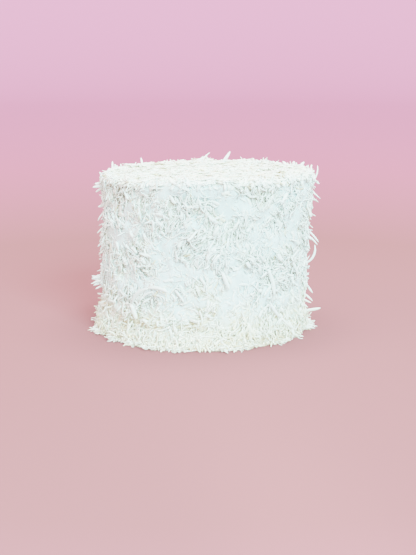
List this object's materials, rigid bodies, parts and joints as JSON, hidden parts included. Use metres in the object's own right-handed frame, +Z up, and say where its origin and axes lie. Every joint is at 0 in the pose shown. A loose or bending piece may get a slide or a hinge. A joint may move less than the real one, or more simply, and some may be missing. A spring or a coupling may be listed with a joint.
{
  "type": "coconut cake",
  "caption": "Tall round layer cake with straight sides and a flat top, uncut, covered all over in shredded coconut",
  "frame": {"origin": "the middle of the cake's flat base, on the surface that it rests on", "axes": "+Z up through the middle of the cake; the shown side faces -Y; +X to the right as seen from there"},
  "size_m": [0.1801, 0.175, 0.1335],
  "materials": {
    "coconut": "matte, white and slightly see-through, as shredded coconut over white frosting"
  },
  "bodies": {
    "root": {"cake": "coconut"}
  },
  "joints": []
}
